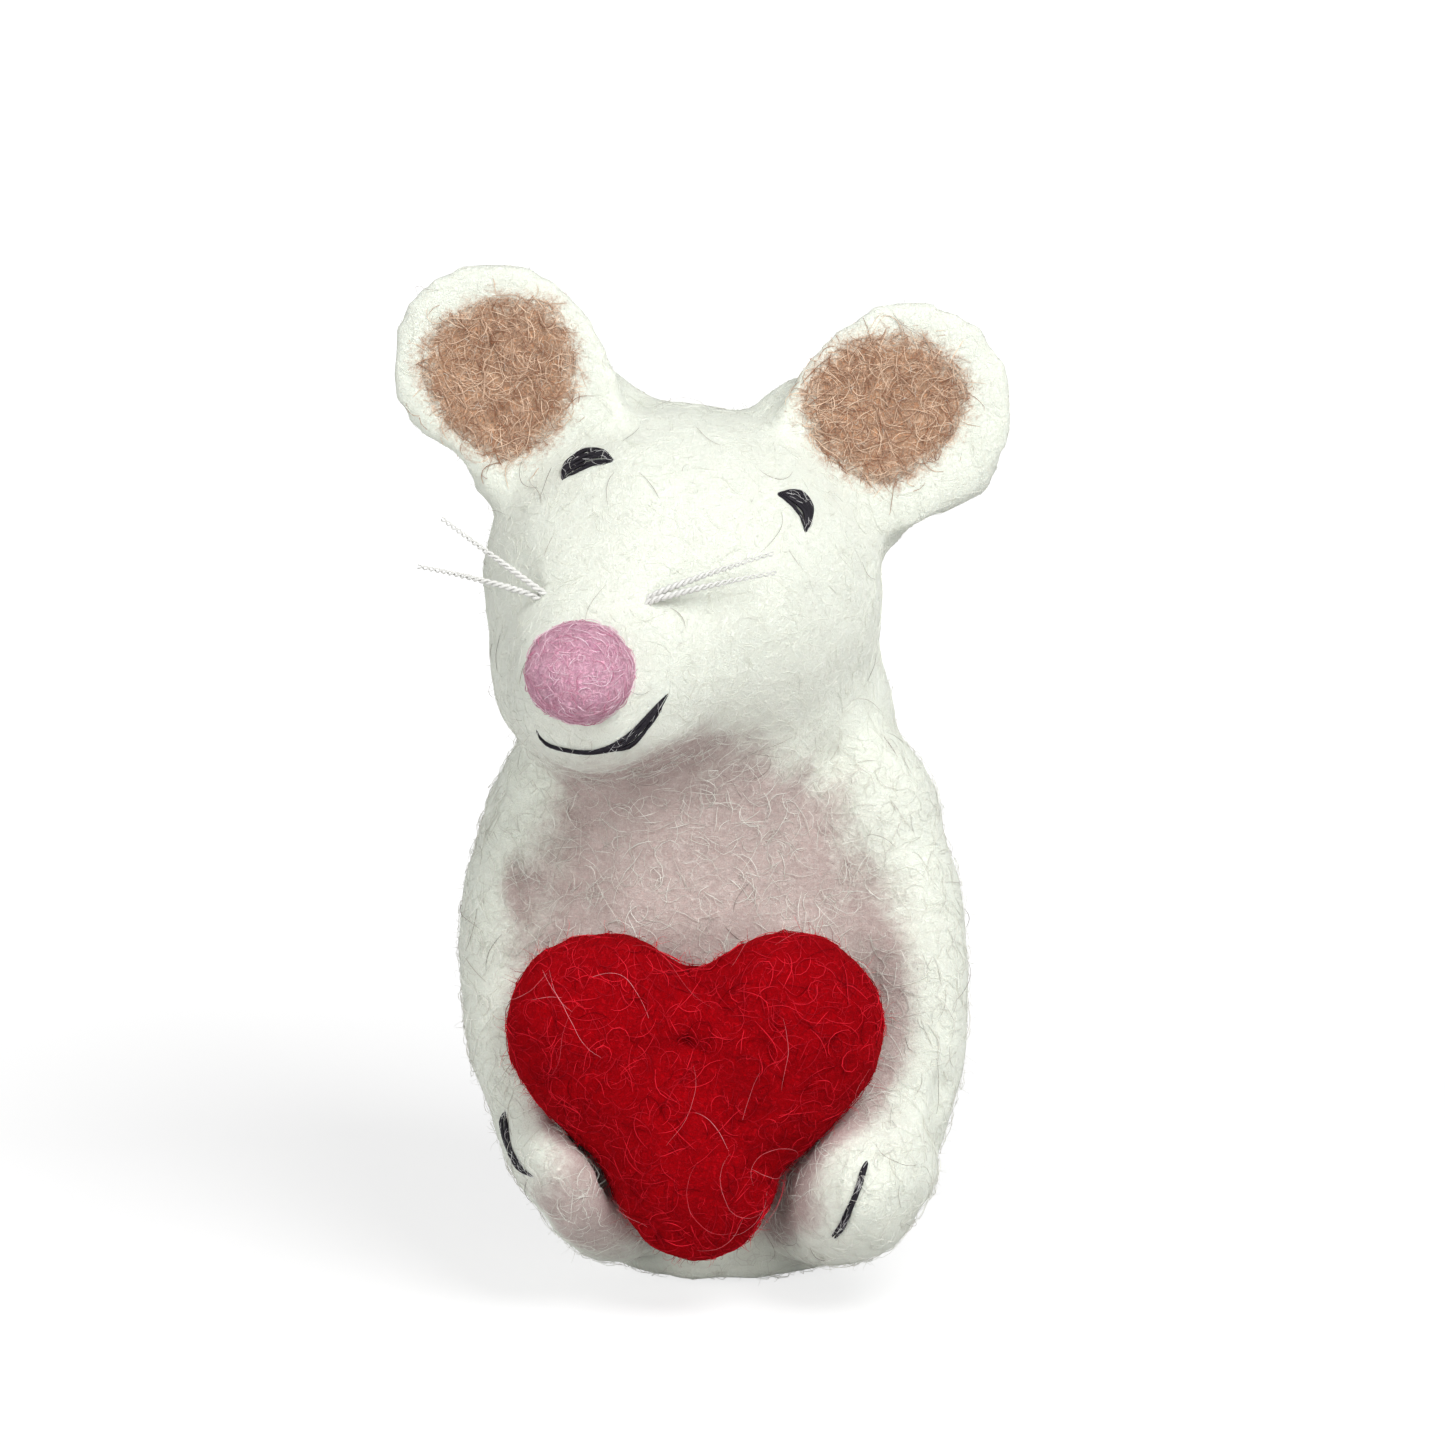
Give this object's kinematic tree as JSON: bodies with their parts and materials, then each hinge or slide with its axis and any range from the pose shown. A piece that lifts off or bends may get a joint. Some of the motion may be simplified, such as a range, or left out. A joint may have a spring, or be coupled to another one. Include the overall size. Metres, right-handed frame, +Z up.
{
  "type": "finger puppet",
  "caption": "Felted wool mouse finger puppet with round ears, an open finger pocket and arms hugging a puffy heart.",
  "frame": {"origin": "middle of the bounding box, in the plane of the hem that the puppet stands on", "axes": "+Z up from the hem to the ears, the front with the face and heart towards -Y, +X to the viewer's right"},
  "size_m": [0.0626, 0.0514, 0.1032],
  "materials": {
    "white_wool": "matte felt, off-white wool with loose surface fibres",
    "red_wool": "matte felt, deep red wool with paler stray fibres",
    "pink_wool": "matte felt, pink wool",
    "tan_wool": "matte felt, tan wool with darker flecks and feathered edges",
    "black_thread": "embroidery thread, slight sheen",
    "white_thread": "twisted white thread"
  },
  "bodies": {
    "root": {"body": "white_wool", "left_arm": "white_wool", "right_arm": "white_wool", "left_ear": "white_wool", "right_ear": "white_wool", "heart": "red_wool", "nose": "pink_wool", "left_ear_lining": "tan_wool", "right_ear_lining": "tan_wool", "left_eye": "black_thread", "right_eye": "black_thread", "mouth": "black_thread", "left_claw_stitch": "black_thread", "right_claw_stitch": "black_thread", "left_whisker_upper": "white_thread", "left_whisker_lower": "white_thread", "right_whisker_upper": "white_thread", "right_whisker_lower": "white_thread"}
  },
  "joints": []
}
